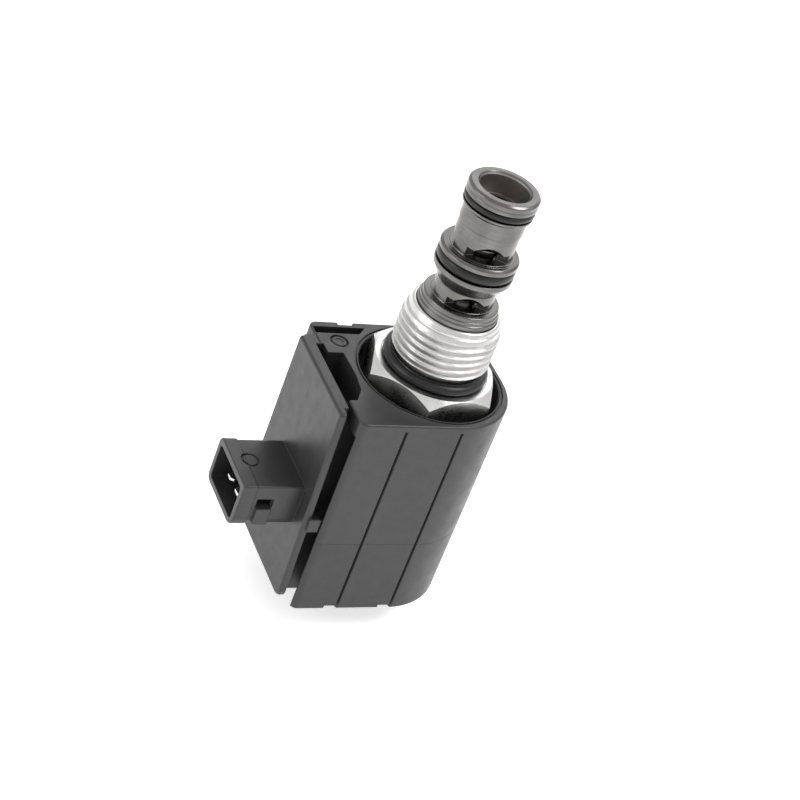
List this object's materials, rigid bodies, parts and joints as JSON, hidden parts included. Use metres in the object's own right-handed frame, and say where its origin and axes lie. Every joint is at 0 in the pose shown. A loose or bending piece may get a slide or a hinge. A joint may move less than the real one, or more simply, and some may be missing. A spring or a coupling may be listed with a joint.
{
  "type": "cartridge valve",
  "caption": "Screw-in hydraulic solenoid cartridge valve: a stepped steel nose with O-rings and milled ports, a zinc hexagon and thread, and a plastic coil with a plug socket.",
  "frame": {"origin": "on the valve axis at the hexagon's seat face, where the valve meets its cavity block", "axes": "+Z along the valve axis from the coil to the nose tip; the plug socket faces -X; the grooved face of the coil faces -Y"},
  "size_m": [0.0589, 0.036, 0.1098],
  "materials": {
    "zinc_steel": "zinc plated, satin",
    "dark_steel": "hardened and ground",
    "bright_steel": "machined",
    "spool_steel": "hardened, straw tinted",
    "rubber_black": "smooth",
    "coil_plastic": "glass-filled nylon, moulded",
    "connector_plastic": "moulded",
    "bobbin_plastic": "moulded",
    "copper": "enamelled copper wire",
    "flux_iron": "phosphated",
    "tin_plate": "tin plated"
  },
  "bodies": {
    "valve": {"cage": "dark_steel", "hex_adapter": "zinc_steel", "seat_o_ring": "rubber_black", "nose_o_ring_tip": "rubber_black", "nose_o_ring_middle": "rubber_black", "nose_retaining_ring": "dark_steel", "spring_seat": "spool_steel", "spool_return_spring": "bright_steel", "pole_piece": "flux_iron", "guide_tube": "bright_steel", "tube_end_plug": "bright_steel", "coil_seal_top": "rubber_black", "coil_seal_bottom": "rubber_black", "coil_nut": "zinc_steel"},
    "coil": {"coil_housing": "coil_plastic", "coil_bobbin": "bobbin_plastic", "copper_winding": "copper", "flux_sleeve": "flux_iron", "flux_washer_top": "flux_iron", "flux_washer_bottom": "flux_iron", "connector_housing": "connector_plastic", "terminal_blade_front": "tin_plate", "terminal_blade_rear": "tin_plate", "mounting_stake": "coil_plastic"},
    "armature": {"armature": "flux_iron", "push_pin": "bright_steel"},
    "spool": {"spool": "spool_steel"}
  },
  "joints": [
    {"name": "coil_swivel", "type": "hinge", "parent": "valve", "child": "coil", "pos_m": [0, 0, 0], "axis": [0, 0, 1], "continuous": true},
    {"name": "armature_slide", "type": "slide", "parent": "valve", "child": "armature", "axis": [0, 0, 1], "range_m": [0, 0.0025], "stiffness_N_per_m": 2000, "springref_m": -0.004},
    {"name": "spool_slide", "type": "slide", "parent": "valve", "child": "spool", "axis": [0, 0, 1], "range_m": [0, 0.0025], "deforming": ["spool_return_spring"]}
  ],
  "couplings": [
    {"joint": "spool_slide", "follows": "armature_slide", "ratio": 1}
  ]
}
